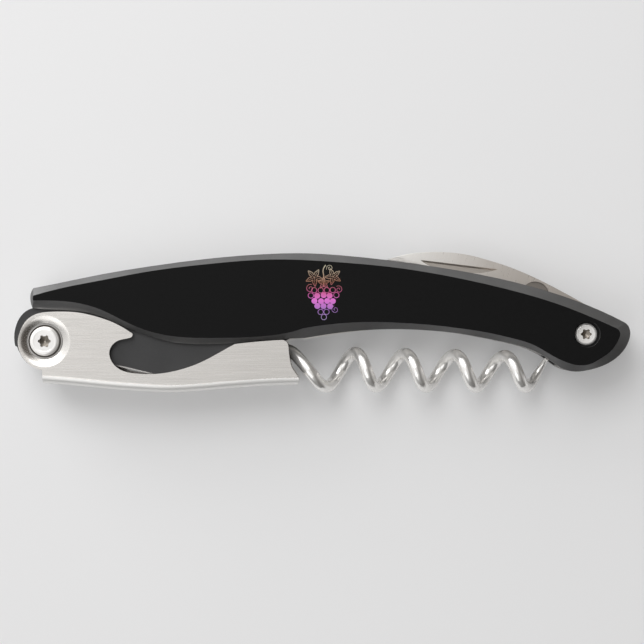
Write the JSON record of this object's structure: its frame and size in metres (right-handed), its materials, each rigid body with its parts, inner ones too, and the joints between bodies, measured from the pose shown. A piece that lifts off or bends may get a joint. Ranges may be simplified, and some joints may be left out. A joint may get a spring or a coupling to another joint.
{
  "type": "waiter's corkscrew",
  "caption": "Folding waiter's corkscrew: arched two-sided handle with a pivoting channel lever with a cap hook, a folding open wire worm and a folding foil knife.",
  "frame": {"origin": "bottom centre of the folded tool's bounding box; the tool lies flat on its back cover, which is the plane z = 0", "axes": "+X along the handle from the lever pivot to the knife pivot, +Y towards the handle's arched back edge, +Z out of the front cover"},
  "size_m": [0.1238, 0.0287, 0.0128],
  "materials": {
    "handle_black": "matte black coating, grey where it is worn on the rims",
    "liner_steel": "plain ground edge",
    "spacer_plastic": "matte",
    "lever_steel": "satin brushed along its length",
    "screw_steel": "turned and polished",
    "washer_steel": "plain",
    "worm_chrome": "polished plating",
    "blade_steel": "ground across its width",
    "spring_steel": "ground",
    "bush_steel": "turned"
  },
  "bodies": {
    "handle": {"cover_front": "handle_black", "cover_back": "handle_black", "liner_front": "liner_steel", "liner_back": "liner_steel", "spine_spacer": "spacer_plastic", "backspring": "spring_steel", "spacer_pins": "screw_steel", "spring_pins": "screw_steel", "lever_bush": "bush_steel", "lever_screw": "screw_steel", "lever_barrel_nut": "screw_steel", "lever_washer_front": "washer_steel", "lever_washer_back": "washer_steel", "worm_pin": "screw_steel", "worm_washer_front": "washer_steel", "worm_washer_back": "washer_steel", "knife_screw": "screw_steel", "knife_barrel_nut": "screw_steel", "knife_washer_front": "washer_steel", "knife_washer_back": "washer_steel"},
    "lever": {"lever": "lever_steel"},
    "worm": {"worm": "worm_chrome"},
    "knife": {"knife_blade": "blade_steel"}
  },
  "joints": [
    {"name": "lever_pivot", "type": "hinge", "parent": "handle", "child": "lever", "pos_m": [-0.05565, -0.00375, 0.0064], "axis": [0, 0, 1], "range_deg": [-150, 0]},
    {"name": "worm_pivot", "type": "hinge", "parent": "handle", "child": "worm", "pos_m": [-0.0217, -0.00275, 0.0064], "axis": [0, 0, 1], "range_deg": [-90, 0]},
    {"name": "knife_pivot", "type": "hinge", "parent": "handle", "child": "knife", "pos_m": [0.05305, -0.00235, 0.0064], "axis": [0, 0, 1], "range_deg": [-180, 0]}
  ],
  "couplings": [
    {"joint": "worm_pivot", "follows": "lever_pivot", "ratio": 0.6}
  ]
}
